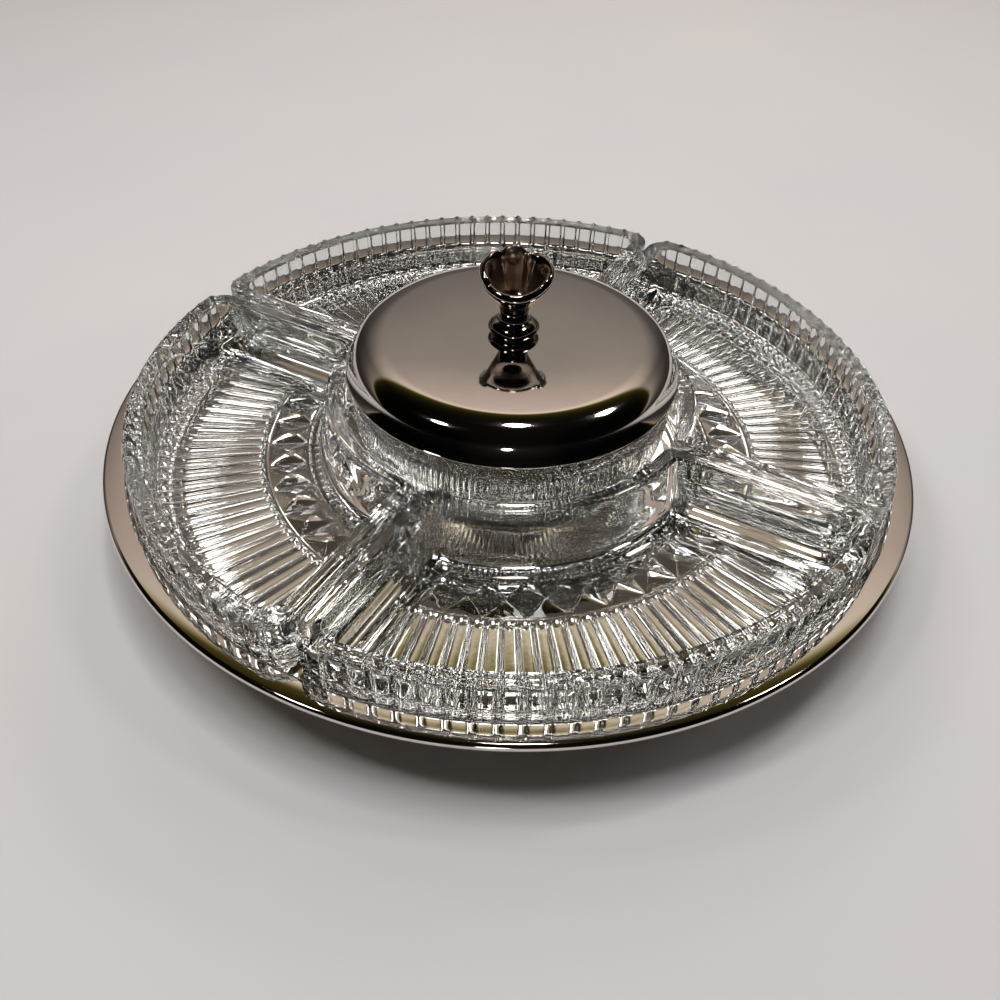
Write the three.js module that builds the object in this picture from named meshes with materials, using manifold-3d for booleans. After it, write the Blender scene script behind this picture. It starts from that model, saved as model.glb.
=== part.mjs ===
// Lazy susan turntable: a recessed metal tray on a ball bearing and a footed base, with four wedge-shaped
// pressed glass dishes, a round glass bowl in the middle and a metal lid with a cast flower finial.
// Millimetres, +Z up. The origin is on the table, under the centre of the turntable.
import * as THREE from "three";
import { mergeVertices } from "three/addons/utils/BufferGeometryUtils.js";
import Module from "manifold-3d";

const wasm = await Module();
wasm.setup();

// ---------- driving dimensions ----------
const GAP = 0.3; // clearance between pieces that rest on each other
const TRAY_R = 203; // outermost radius of the tray, a 16 inch turntable
const RIM_Z = 40; // height of the tray's flat rim above the table
const SHEET = 1.2; // thickness of the tray and lid metal
const WELL_R = 190.2; // inner radius of the recess that the glass stands in
const WELL_DEPTH = 18;
const HEM_R = 1.4; // radius that the middle of the tray's rolled edge is turned with

const DISH_R = 189.6; // outer radius of the glass dishes at the rim
const DISH_INNER_R = 85.5; // radius of their short inner side
const DISH_H = 35.9;
const DISH_WALL = 8; // width of the flat rim
const DISH_SIDE_GAP = 1; // half of the slot between two dishes
const DISH_CORNER = 12.9;
const DISH_INNER_CORNER = 9;
const FLOOR_T = 5.2;
const RIB_H = 0.9; // how far the wall ribs stand out
const RIB_STEP = 3; // degrees from one rib to the next
const DISHES = 4;

const BOWL_R = 80;
const BOWL_H = 50.7;
const BOWL_WALL = 6;
const LID_R = 82.4;
const LID_FOOT_R = 81.8; // where the lid's side rises from its flange
const LID_LEAN = 22; // degrees that the side leans inwards
const LID_H = 18.2; // from the flange's underside to the top
// The lid's crown, shoulder and bend, from its flat middle outwards: radii, and the upward tilt of the surface's
// normal in degrees where each starts and ends. They run smoothly into each other and into the leaning side.
const LID_ARCS = [
  { radius: 555, from: 90, to: 86.8, steps: 2 },
  { radius: 24, from: 86.8, to: 60, steps: 4 },
  { radius: 11.5, from: 60, to: LID_LEAN, steps: 5 },
];
const LID_SKIRT_R = 71.5;

const BALLS = 12;
const BALL_R = 3.4;
const BALL_CIRCLE = 60;
const BALL_Z = 15.8;
const RACE_T = 2.6;
const RACE_SPAN = 4.2; // between the two race plates
const UPPER_RACE_R = 96;
const LOWER_RACE_R = 72;
const EYELET_R = 7.6;
const BASE_R = 108;
const BASE_T = 1.6;
const STUD_CIRCLE = 86;
const STUD_R = 2;
const RIVET_CIRCLE = 40;
const FOOT_CIRCLE = 84;
const FASTENERS = 4;

// ---------- heights that follow ----------
const WELL_Z = RIM_Z - WELL_DEPTH; // top of the well's floor
const GLASS_Z = WELL_Z + GAP; // underside of the glass
const RACE_TOP = WELL_Z - SHEET - GAP; // top of the upper race plate
const UPPER_RACE_Z = RACE_TOP - RACE_T;
const LOWER_RACE_TOP = UPPER_RACE_Z - RACE_SPAN;
const LOWER_RACE_Z = LOWER_RACE_TOP - RACE_T;
const BASE_TOP = LOWER_RACE_Z - GAP;
const BASE_PLATE_Z = BASE_TOP - BASE_T;
const LID_Z = GLASS_Z + BOWL_H + 0.4; // underside of the lid's flange
const LID_TOP = LID_Z + LID_H;
const FINIAL_Z = LID_TOP + GAP;

const FULL = 2 * Math.PI;
const rad = THREE.MathUtils.degToRad;

// ---------- materials ----------
const metal = (color, roughness) => new THREE.MeshStandardMaterial({ color, roughness, metalness: 1 });
const GLASS = new THREE.MeshStandardMaterial({ color: 0xdfe6e2, roughness: 0.05, transparent: true, opacity: 0.4 });
const MIRROR_PLATE = metal(0xcac7c2, 0.04);
const CAST_PLATE = metal(0xc4c0ba, 0.1);
const ZINC = metal(0xa9adb0, 0.35);
const BALL_STEEL = metal(0xb9bcc0, 0.12);
const BASE_PAINT = new THREE.MeshStandardMaterial({ color: 0x26272a, roughness: 0.5 });
const CAGE_PLASTIC = new THREE.MeshStandardMaterial({ color: 0xd9d3c4, roughness: 0.45 });
const RUBBER = new THREE.MeshStandardMaterial({ color: 0x1d1d1e, roughness: 0.85 });

// ---------- helpers ----------
// Points on an arc about (x, y), from angle a0 to a1 in degrees.
function arc(x, y, r, a0, a1, steps) {
  const points = [];
  for (let i = 0; i <= steps; i++) {
    const a = rad(a0 + ((a1 - a0) * i) / steps);
    points.push([x + r * Math.cos(a), y + r * Math.sin(a)]);
  }
  return points;
}

// Both faces of a sheet of metal whose middle line is the given [r, z] points.
function sheet(line, thickness) {
  const side = (sign) =>
    line.map(([r, z], i) => {
      const [r0, z0] = line[Math.max(i - 1, 0)];
      const [r1, z1] = line[Math.min(i + 1, line.length - 1)];
      const step = Math.hypot(r1 - r0, z1 - z0);
      const half = (sign * thickness) / 2;
      return [Math.max(r - (half * (z1 - z0)) / step, 0), z + (half * (r1 - r0)) / step];
    });
  return [...side(-1), ...side(1).reverse()];
}

// A profile of [r, z] points turned about the Z axis; the profile runs anticlockwise and is closed here.
function turned(profile, steps) {
  const points = [...profile, profile[0]].map(([r, z]) => new THREE.Vector2(r, z));
  return new THREE.LatheGeometry(points, steps).rotateX(Math.PI / 2);
}

function cylinder(r, z0, z1, steps = 20, x = 0, y = 0) {
  const shape = new THREE.CylinderGeometry(r, r, z1 - z0, steps);
  return shape.rotateX(Math.PI / 2).translate(x, y, (z0 + z1) / 2);
}

// Closed surface through rings of points that all have the same count, with a fan over each end.
function loft(rings) {
  const count = rings[0].length;
  const middle = (ring) => ring.reduce((sum, p) => sum.add(p), new THREE.Vector3()).divideScalar(count);
  const points = [...rings.flat(), middle(rings[0]), middle(rings.at(-1))];
  const last = (rings.length - 1) * count;
  const faces = [];
  for (let i = 0; i < count; i++) {
    const j = (i + 1) % count;
    for (let k = 0; k < last; k += count) {
      faces.push(k + i, k + j, k + count + j, k + i, k + count + j, k + count + i);
    }
    faces.push(points.length - 2, j, i, points.length - 1, last + i, last + j);
  }
  return new THREE.BufferGeometry().setFromPoints(points).setIndex(faces);
}

function solid(geometry) {
  const bare = geometry.index ? geometry.toNonIndexed() : geometry.clone();
  bare.deleteAttribute("normal");
  bare.deleteAttribute("uv");
  const merged = mergeVertices(bare, 1e-3);
  const vertProperties = merged.attributes.position.array;
  const triVerts = new Uint32Array(merged.index.array);
  return new wasm.Manifold(new wasm.Mesh({ numProp: 3, vertProperties, triVerts }));
}

function geometryOf(made) {
  const { vertProperties, triVerts } = made.getMesh();
  const geometry = new THREE.BufferGeometry();
  geometry.setAttribute("position", new THREE.BufferAttribute(vertProperties, 3));
  return geometry.setIndex(new THREE.BufferAttribute(triVerts, 1));
}

const cut = (body, tools) => geometryOf(tools.reduce((left, tool) => left.subtract(solid(tool)), solid(body)));
const join = (pieces) => geometryOf(pieces.map(solid).reduce((all, piece) => all.add(piece)));

// The same upright cylinder at evenly spaced places on a circle, the first one at angle `start`.
function ringOf(count, circle, start, r, z0, z1, steps) {
  return Array.from({ length: count }, (_, i) => {
    const a = rad(start) + (i * FULL) / count;
    return cylinder(r, z0, z1, steps, circle * Math.cos(a), circle * Math.sin(a));
  });
}

const part = new THREE.Group();
function add(name, geometry, material, x = 0, y = 0, turn = 0) {
  const mesh = new THREE.Mesh(geometry, material);
  mesh.name = name;
  mesh.position.set(x, y, 0);
  mesh.rotation.z = turn;
  part.add(mesh);
}

// Adds one mesh per fastener, numbered from 1.
function addAround(name, circle, start, geometry, material) {
  for (let i = 0; i < FASTENERS; i++) {
    const a = rad(start) + (i * FULL) / FASTENERS;
    add(`${name}_${i + 1}`, geometry, material, circle * Math.cos(a), circle * Math.sin(a));
  }
}

// ---------- base: stand, feet, lower race plate, rivets, eyelet ----------
function baseStand() {
  const middle = BASE_TOP - BASE_T / 2;
  const line = [
    [EYELET_R + GAP, middle],
    ...arc(BASE_R - 8, middle - 5, 5, 90, 15, 3),
    [BASE_R - BASE_T / 2, 2.4],
  ];
  return cut(turned(sheet(line, BASE_T), 48), [
    ...ringOf(FASTENERS, RIVET_CIRCLE, 45, STUD_R + GAP, 0, 20, 12),
    ...ringOf(FASTENERS, FOOT_CIRCLE, 45, 3 + GAP, 5, 20, 16),
    ...ringOf(1, STUD_CIRCLE, 0, 6, 5, 20, 20), // a screwdriver hole to reach the tray's nuts
  ]);
}

function rubberFoot() {
  const top = BASE_PLATE_Z - GAP;
  const button = BASE_TOP + GAP;
  const profile = [
    [0, 0],
    [9, 0],
    [10, 1],
    [8.5, top],
    [3, top],
    [3, button],
    [4.4, button],
    [3, button + 1.8],
    [0, button + 1.8],
  ];
  return turned(profile, 14);
}

function raceGroove(side) {
  const centre = BALL_Z;
  const face = side > 0 ? UPPER_RACE_Z : LOWER_RACE_TOP;
  const r = BALL_R + GAP;
  const half = (Math.acos(Math.abs(face - centre) / r) * 180) / Math.PI;
  return arc(BALL_CIRCLE, centre, r, side * 90 - half, side * 90 + half, 4);
}

function lowerRace() {
  const profile = [
    [EYELET_R + GAP, LOWER_RACE_Z],
    [LOWER_RACE_R, LOWER_RACE_Z],
    [LOWER_RACE_R, LOWER_RACE_TOP],
    ...raceGroove(-1).reverse(),
    [EYELET_R + GAP, LOWER_RACE_TOP],
  ];
  return cut(turned(profile, 36), ringOf(FASTENERS, RIVET_CIRCLE, 45, STUD_R + GAP, 5, 20, 12));
}

function rivet() {
  const high = LOWER_RACE_TOP + 0.1;
  const low = BASE_PLATE_Z - 0.1;
  return turned([[0, low - 1.1], [3, low - 1.1], [3.8, low], [STUD_R, low], [STUD_R, high], [3.8, high],
    [3, high + 1.1], [0, high + 1.1]], 10);
}

function eyelet() {
  const high = UPPER_RACE_Z - 0.2;
  const low = BASE_PLATE_Z - 0.1;
  return turned([[EYELET_R - 1.4, low - 1], [11.5, low - 1], [11.5, low], [EYELET_R, low], [EYELET_R, high],
    [11.5, high], [11.5, high + 1], [EYELET_R - 1.4, high + 1]], 20);
}

// ---------- ball cage ----------
function ballCage() {
  const low = BALL_Z - 0.7;
  const high = BALL_Z + 0.7;
  const ring = [
    [BALL_CIRCLE - 8, low],
    [BALL_CIRCLE + 8, low],
    [BALL_CIRCLE + 8, high],
    [BALL_CIRCLE - 8, high],
  ];
  return cut(turned(ring, 40), ringOf(BALLS, BALL_CIRCLE, 0, BALL_R + GAP + 0.1, 10, 20, 12));
}

// ---------- turntable: tray, upper race plate, nuts ----------
function upperRace() {
  const dished = UPPER_RACE_Z - 2.8; // the middle is pressed down round the eyelet
  const profile = [
    [EYELET_R + 2 * GAP, dished],
    [22, dished],
    [28, UPPER_RACE_Z],
    ...raceGroove(1).reverse(),
    [UPPER_RACE_R, UPPER_RACE_Z],
    [UPPER_RACE_R, RACE_TOP],
    [26.5, RACE_TOP],
    [20.5, dished + 2.2],
    [EYELET_R + 2 * GAP, dished + 2.2],
  ];
  return cut(turned(profile, 40), ringOf(FASTENERS, STUD_CIRCLE, 0, STUD_R + GAP, 10, 30, 12));
}

function nut() {
  const top = UPPER_RACE_Z - GAP;
  return cut(cylinder(4.04, top - 2.6, top, 6), [cylinder(STUD_R + GAP, 0, 30, 12)]);
}

function tray() {
  const half = SHEET / 2;
  const wall = WELL_R + half;
  const edge = TRAY_R - half;
  const line = [
    [0, WELL_Z - half],
    ...arc(wall - 7, WELL_Z - half + 7, 7, -90, 0, 3),
    ...arc(wall + 2.4, RIM_Z - half - 2.4, 2.4, 180, 90, 2),
    ...arc(edge - HEM_R, RIM_Z - half - HEM_R, HEM_R, 90, -110, 6),
  ];
  const pan = turned(sheet(line, SHEET), 60);
  return join([pan, ...ringOf(FASTENERS, STUD_CIRCLE, 0, STUD_R, UPPER_RACE_Z - 3.4, WELL_Z - half, 12)]);
}

// ---------- glass dishes ----------
// Outline of one dish about +X, moved inwards by `inset`. Outer arc, corner, straight side, inner corner, inner
// arc, and back. Corners have the given radii; `rib` raises every other point of the outer arc.
function dishOutline(z, inset, corner, innerCorner, arcSteps, rib) {
  const outer = DISH_R - inset;
  const inner = DISH_INNER_R + inset;
  const side = DISH_SIDE_GAP + inset;
  const reach = (outerR, r) => (Math.asin((side + r) / outerR) * 180) / Math.PI;
  const lean = reach(outer - corner, corner);
  const innerLean = reach(inner + innerCorner, innerCorner);
  const half = [];
  for (let i = 0; i <= arcSteps / 2; i++) {
    const r = outer + (i % 2 ? 0 : rib);
    const a = rad(((45 - lean) * i) / (arcSteps / 2));
    half.push([r * Math.cos(a), r * Math.sin(a)]);
  }
  const corners = [
    [outer - corner, 45 - lean, corner, 45 - lean, 135],
    [inner + innerCorner, 45 - innerLean, innerCorner, 135, 225 - innerLean],
  ];
  for (const [distance, at, r, a0, a1] of corners) {
    const x = distance * Math.cos(rad(at));
    const y = distance * Math.sin(rad(at));
    half.push(...arc(x, y, r, a0, a1, 4).slice(distance > DISH_R / 1.5 ? 1 : 0));
  }
  for (let i = 1; i <= 4; i++) {
    const a = rad((45 - innerLean) * (1 - i / 4));
    half.push([inner * Math.cos(a), inner * Math.sin(a)]);
  }
  const mirrored = half.slice(1, -1).reverse().map(([x, y]) => [x, -y]);
  return [...half, ...mirrored].map(([x, y]) => new THREE.Vector3(x, y, z));
}

function dish() {
  const top = GLASS_Z + DISH_H;
  const ribbed = Math.round(81 / RIB_STEP) * 2;
  const body = loft([
    dishOutline(GLASS_Z, 6.5, 9, 6, ribbed, 0),
    dishOutline(GLASS_Z + 3.4, 3.4, 10.5, 7, ribbed, RIB_H / 2),
    dishOutline(GLASS_Z + 12, 1.2, 12, 8, ribbed, RIB_H),
    dishOutline(top - 1.5, 0, DISH_CORNER, DISH_INNER_CORNER, ribbed, RIB_H),
    dishOutline(top, 1.6, DISH_CORNER - 1.6, DISH_INNER_CORNER - 1.6, ribbed, RIB_H / 2),
  ]);
  const floor = GLASS_Z + FLOOR_T;
  const plain = 16;
  const hollow = loft([
    dishOutline(floor, 20, 9, 8, plain, 0),
    dishOutline(floor + 2.6, 15.4, 9, 8, plain, 0),
    dishOutline(floor + 7.5, 12.2, 8.5, 7, plain, 0),
    dishOutline(top - 2, DISH_WALL + 0.6, 7.5, 5, plain, 0),
    dishOutline(top + 1, DISH_WALL - 1.4, 8.5, 6, plain, 0),
  ]);
  return cut(body, [hollow]);
}

// ---------- centre bowl ----------
function bowl() {
  const top = GLASS_Z + BOWL_H;
  const outside = [
    [0, GLASS_Z + 1],
    [52, GLASS_Z + 1],
    [54, GLASS_Z],
    [60, GLASS_Z],
    [70, GLASS_Z + 7],
    [76.5, GLASS_Z + 18],
    [79, GLASS_Z + 32],
    [BOWL_R, top - 4],
  ];
  const rim = arc(BOWL_R - BOWL_WALL / 2, top - BOWL_WALL / 2, BOWL_WALL / 2, 0, 180, 4);
  const inside = [
    [72, GLASS_Z + 30],
    [69, GLASS_Z + 18],
    [62, GLASS_Z + 9.5],
    [50, GLASS_Z + 6.2],
    [0, GLASS_Z + 5.4],
  ];
  return turned([...outside, ...rim, ...inside], 48);
}

// ---------- lid ----------
// The crown, shoulder and bend as (r, z) points, `inset` inside the lid's outer face, starting at radius `flat`.
function lidCurve(flat, inset) {
  let r = flat;
  let z = LID_TOP - LID_ARCS[0].radius;
  let before = LID_ARCS[0].radius;
  return LID_ARCS.flatMap(({ radius, from, to, steps }) => {
    r += (before - radius) * Math.cos(rad(from));
    z += (before - radius) * Math.sin(rad(from));
    before = radius;
    const points = arc(r, z, radius - inset, from, to, steps);
    return from === 90 ? points : points.slice(1);
  });
}

function lid() {
  const half = SHEET / 2;
  const skirtFoot = LID_Z - 4.4;
  const [reach, bendFoot] = lidCurve(0, 0).at(-1);
  const flat = LID_FOOT_R - (bendFoot - LID_Z - SHEET) * Math.tan(rad(LID_LEAN)) - reach;
  const outside = [
    [LID_SKIRT_R + SHEET, LID_Z],
    [LID_R - half, LID_Z],
    [LID_R, LID_Z + half],
    [LID_R - half, LID_Z + SHEET],
    [LID_FOOT_R, LID_Z + SHEET],
    ...lidCurve(flat, 0).reverse(),
    [STUD_R + GAP, LID_TOP],
  ];
  const inside = [
    [STUD_R + GAP, LID_TOP - SHEET],
    ...lidCurve(flat, SHEET),
    [LID_FOOT_R - 1.3, LID_Z + SHEET + 0.6],
    [LID_SKIRT_R, LID_Z + SHEET],
    [LID_SKIRT_R, skirtFoot],
    [LID_SKIRT_R + SHEET, skirtFoot],
  ];
  return turned([...outside, ...inside], 48);
}

function washer() {
  const top = LID_TOP - SHEET - GAP;
  return turned([[STUD_R + GAP, top - 0.8], [7, top - 0.8], [7, top], [STUD_R + GAP, top]], 24);
}

function finialScrew() {
  const seat = LID_TOP - SHEET - 2 * GAP - 0.8;
  const tip = FINIAL_Z + 9;
  const profile = [[0, seat - 2], [4, seat - 2], [4.6, seat], [STUD_R, seat], [STUD_R, tip - 1], [1, tip], [0, tip]];
  return turned(profile, 20);
}

// ---------- finial: lobed collar, waist, open flower cup, knobbed petals and a bud ----------
const FLOWER_TURN = rad(72.5); // direction of the cup's high side
const FLOWER_LEAN = 0.24; // how much the cup's mouth leans, as a slope

// A ring of the flower: radius r with `lobes` shallow lobes, its high side towards FLOWER_TURN.
function flowerRing(r, z, lobes, depth, lean) {
  const count = 32;
  return Array.from({ length: count }, (_, i) => {
    const a = (i * FULL) / count;
    const wavy = r * (1 + depth * Math.cos(lobes * a));
    const rise = lean * wavy * Math.cos(a - FLOWER_TURN);
    return new THREE.Vector3(wavy * Math.cos(a), wavy * Math.sin(a), z + rise);
  });
}

function flowerStem() {
  const z = FINIAL_Z;
  return loft([
    flowerRing(8.8, z, 5, 0.05, 0),
    flowerRing(11.4, z + 1.8, 5, 0.05, 0),
    flowerRing(11.4, z + 4.2, 5, 0.05, 0),
    flowerRing(9, z + 6.2, 5, 0.05, 0),
    flowerRing(7.2, z + 7.8, 5, 0.03, 0),
    flowerRing(7.9, z + 13.5, 5, 0.02, 0),
    flowerRing(10.6, z + 20, 4, 0.04, FLOWER_LEAN / 2),
    flowerRing(14.4, z + 27.2, 4, 0.05, FLOWER_LEAN),
    flowerRing(16.2, z + 31.8, 4, 0.05, FLOWER_LEAN),
    flowerRing(13.6, z + 32.2, 4, 0.05, FLOWER_LEAN),
    flowerRing(12, z + 27.2, 4, 0.05, FLOWER_LEAN),
    flowerRing(8.2, z + 20, 4, 0.04, FLOWER_LEAN / 2),
    flowerRing(4.5, z + 16.2, 4, 0.02, 0),
  ]);
}

// A rounded petal or bud: half-width, half-thickness and half-height, standing at `out` from the axis in the
// direction `turn`, and leaning outwards by `lean` degrees.
function petal(width, thickness, height, out, turn, z, lean) {
  const a = FLOWER_TURN + rad(turn);
  const shape = new THREE.SphereGeometry(1, 10, 7).rotateX(Math.PI / 2).scale(thickness, width, height);
  shape.rotateY(rad(lean)).rotateZ(a);
  return shape.translate(out * Math.cos(a), out * Math.sin(a), FINIAL_Z + z);
}

function finial() {
  const flower = join([
    flowerStem(),
    petal(6, 2.4, 5, 14.2, 72, 33, 18),
    petal(4, 2.2, 5, 12.8, 34, 34.6, 10),
    petal(4.6, 2.4, 6.4, 11.8, 6, 34.4, 4),
    petal(4.4, 2.4, 4.6, 13, -36, 33.6, 12),
    petal(6, 2.6, 4.6, 14.2, -76, 31.6, 20),
    petal(2.2, 2.2, 7, 2.6, -20, 20, 8),
  ]);
  const bore = cylinder(STUD_R + GAP, FINIAL_Z - 1, FINIAL_Z + 10, 16);
  return geometryOf(solid(flower).subtract(solid(bore)));
}

// ---------- the whole ----------
add("base_stand", baseStand(), BASE_PAINT);
addAround("rubber_foot", FOOT_CIRCLE, 45, rubberFoot(), RUBBER);
add("lower_race_plate", lowerRace(), ZINC);
addAround("race_rivet", RIVET_CIRCLE, 45, rivet(), ZINC);
add("centre_eyelet", eyelet(), ZINC);
add("ball_cage", ballCage(), CAGE_PLASTIC);
for (let i = 0; i < BALLS; i++) {
  const a = (i * FULL) / BALLS;
  const ball = new THREE.SphereGeometry(BALL_R, 10, 6).translate(0, 0, BALL_Z);
  add(`ball_${i + 1}`, ball, BALL_STEEL, BALL_CIRCLE * Math.cos(a), BALL_CIRCLE * Math.sin(a));
}
add("upper_race_plate", upperRace(), ZINC);
addAround("race_nut", STUD_CIRCLE, 0, nut(), ZINC);
add("tray", tray(), MIRROR_PLATE);
for (let i = 0; i < DISHES; i++) {
  add(`glass_dish_${i + 1}`, dish(), GLASS, 0, 0, rad(-90 + (i * 360) / DISHES));
}
add("centre_bowl", bowl(), GLASS);
add("lid_shell", lid(), MIRROR_PLATE);
add("lid_washer", washer(), ZINC);
add("finial_screw", finialScrew(), ZINC);
add("finial", finial(), CAST_PLATE);

export default part;
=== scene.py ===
"""A mirror-plated lazy susan with four pressed glass dishes, a lidded glass bowl and a cast flower finial.

Lengths in the making functions are millimetres; mesh_piece turns them to metres. +Z is up.
"""

import math

import bmesh
import bpy
import numpy as np
from mathutils import Matrix, Vector


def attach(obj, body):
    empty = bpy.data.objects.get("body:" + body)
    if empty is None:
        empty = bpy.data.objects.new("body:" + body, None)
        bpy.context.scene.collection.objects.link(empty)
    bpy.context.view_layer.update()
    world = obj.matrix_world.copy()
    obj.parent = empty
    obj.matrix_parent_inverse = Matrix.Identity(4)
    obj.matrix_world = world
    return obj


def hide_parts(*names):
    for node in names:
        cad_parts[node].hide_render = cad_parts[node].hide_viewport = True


MM = 0.001
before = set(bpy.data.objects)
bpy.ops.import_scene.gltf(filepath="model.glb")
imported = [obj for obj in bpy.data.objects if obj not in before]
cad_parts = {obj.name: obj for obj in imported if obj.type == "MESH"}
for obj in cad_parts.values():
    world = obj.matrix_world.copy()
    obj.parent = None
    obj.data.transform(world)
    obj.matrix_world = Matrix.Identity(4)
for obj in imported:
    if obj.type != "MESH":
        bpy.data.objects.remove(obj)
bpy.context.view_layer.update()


def reach(node):
    """(least radius, greatest radius, lowest, highest) of a frame node about the turntable's axis, in mm."""
    points = np.array([v.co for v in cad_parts[node].data.vertices]) / MM
    radius = np.hypot(points[:, 0], points[:, 1])
    return radius.min(), radius.max(), points[:, 2].min(), points[:, 2].max()


# ---------- sizes taken from the frame ----------
DISH_INNER_R, DISH_RIBBED_R, GLASS_Z, DISH_TOP = reach("glass_dish_2")
_, BOWL_R, _, BOWL_TOP = reach("centre_bowl")
LID_BORE_R, LID_R, LID_LOW, LID_TOP = reach("lid_shell")
_, TRAY_R, STUD_FOOT, RIM_Z = reach("tray")
_, _, FINIAL_Z, _ = reach("finial")
RACE_STUD_R = 86  # of the circle that the tray's studs stand on
STUD_R = 2

PANEL_H = 0.9  # how far the wall's flat panels stand out beyond the plain outline
GROOVE_DEPTH = 1.7  # of the grooves between panels
PANEL_PITCH = 3.0  # degrees from groove to groove
GROOVE_SHARE = 0.19  # half of a groove's width, as a share of the pitch
DISH_R = DISH_RIBBED_R - PANEL_H
SHEET = 1.2  # thickness of the tray and lid metal
WELL_Z = GLASS_Z - 0.3
WELL_R = DISH_R + 0.6
FLUTE_END = 127.0  # where the floor's flutes stop, in rounded arches
FACET_OUTER = 126.0
FACET_INNER = 104.0
FACET_PITCH = 8.6  # degrees from one pyramid to the next
FACET_DEPTH = 2.7
DISHED_DEPTH = 0.22  # how hollow each flute is between its grooves
FINE_PITCH = 1.5  # of the fine ribs inside the pyramids, in degrees
FINE_DEPTH = 0.7
FINE_INNER = 94.7
FINE_OUTER = 102.6
CUP_R = 13.5  # of the flower's cup, where its duller inside begins
CUP_FLOOR = 16.1  # above the flower's foot


# ---------- colour and nodes ----------
def linear(hex_colour):
    """An sRGB hex colour as linear RGBA."""
    parts = [int(hex_colour[i : i + 2], 16) / 255 for i in (1, 3, 5)]
    return [c / 12.92 if c <= 0.04045 else ((c + 0.055) / 1.055) ** 2.4 for c in parts] + [1.0]


def plug(tree, node, **inputs):
    """Gives inputs a value or another node's output. Names have underscores for spaces; i6 is input 6."""
    for key, value in inputs.items():
        socket = node.inputs[int(key[1:])] if key[1:].isdigit() else node.inputs[key.replace("_", " ")]
        if isinstance(value, bpy.types.NodeSocket):
            tree.links.new(value, socket)
        else:
            socket.default_value = value


def add(tree, kind, settings=None, **inputs):
    """Adds a node with its settings and inputs."""
    node = tree.nodes.new(kind)
    for key, value in (settings or {}).items():
        setattr(node, key, value)
    plug(tree, node, **inputs)
    return node


RGBA = {"data_type": "RGBA"}
TIMES = {"operation": "MULTIPLY"}


def start_material(name):
    material = bpy.data.materials.new(name)
    material.use_nodes = True
    tree = material.node_tree
    shader = tree.nodes["Principled BSDF"]
    place = add(tree, "ShaderNodeTexCoord").outputs["Object"]
    return material, tree, shader, place


def per_mm(size):
    """Texture scale whose pattern repeats about once in `size` mm."""
    return 1 / (size * MM)


def about_axis(tree, place):
    """A point's distance from the turntable's axis, and its height."""
    parts = add(tree, "ShaderNodeSeparateXYZ", Vector=place)
    flat = add(tree, "ShaderNodeCombineXYZ", X=parts.outputs["X"], Y=parts.outputs["Y"])
    radius = add(tree, "ShaderNodeVectorMath", {"operation": "LENGTH"}, Vector=flat.outputs["Vector"])
    return radius.outputs["Value"], parts.outputs["Z"]


def pressed_soda_glass():
    """Fire-polished soda-lime glass from an iron mould: clear, grey-green where thick, faintly rippled."""
    material, tree, shader, place = start_material("pressed_soda_glass")
    ripple = add(tree, "ShaderNodeTexNoise", Vector=place, Scale=per_mm(7), Detail=2.0)
    chill = add(tree, "ShaderNodeTexNoise", Vector=place, Scale=per_mm(1.1), Detail=1.0)
    tint = add(tree, "ShaderNodeMix", RGBA, Factor=ripple.outputs["Fac"])
    plug(tree, tint, i6=linear("#F6F7F6"), i7=linear("#EDF0EE"))
    gloss = add(tree, "ShaderNodeMapRange", Value=chill.outputs["Fac"], To_Min=0.0, To_Max=0.015)
    bump = add(tree, "ShaderNodeBump", Height=ripple.outputs["Fac"], Strength=0.5, Distance=0.12 * MM)
    plug(tree, shader, Transmission_Weight=1.0, IOR=1.52, Base_Color=tint.outputs[2])
    plug(tree, shader, Roughness=gloss.outputs["Result"], Normal=bump.outputs["Normal"])
    depth = add(tree, "ShaderNodeVolumeAbsorption", Color=linear("#A9AFAB"), Density=4.0)
    plug(tree, tree.nodes["Material Output"], Volume=depth.outputs["Volume"])
    return material


def mirror_plated_sheet():
    """Bright plated sheet, mopped on the lathe: a warm mirror, slightly smeared by rings and smudges."""
    material, tree, shader, place = start_material("mirror_plated_sheet")
    radius, height = about_axis(tree, place)
    around = add(tree, "ShaderNodeCombineXYZ", X=radius, Y=height)
    # a mop's rings are finer than 0.5 mm; they are drawn that wide so that they show
    rings = add(tree, "ShaderNodeTexNoise", Vector=around.outputs["Vector"], Scale=per_mm(0.5), Detail=3.0)
    smudge = add(tree, "ShaderNodeTexNoise", Vector=place, Scale=per_mm(28), Detail=4.0, Roughness=0.6)
    colour = add(tree, "ShaderNodeMix", RGBA, Factor=smudge.outputs["Fac"])
    plug(tree, colour, i6=linear("#E6E0DA"), i7=linear("#D5D0CB"))
    wear = add(tree, "ShaderNodeMath", TIMES, i0=rings.outputs["Fac"], i1=smudge.outputs["Fac"])
    gloss = add(tree, "ShaderNodeMapRange", Value=wear.outputs["Value"], To_Min=0.03, To_Max=0.13)
    bump = add(tree, "ShaderNodeBump", Height=rings.outputs["Fac"], Strength=0.06, Distance=0.02 * MM)
    plug(tree, shader, Metallic=1.0, Base_Color=colour.outputs[2])
    plug(tree, shader, Roughness=gloss.outputs["Result"], Normal=bump.outputs["Normal"])
    return material


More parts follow.
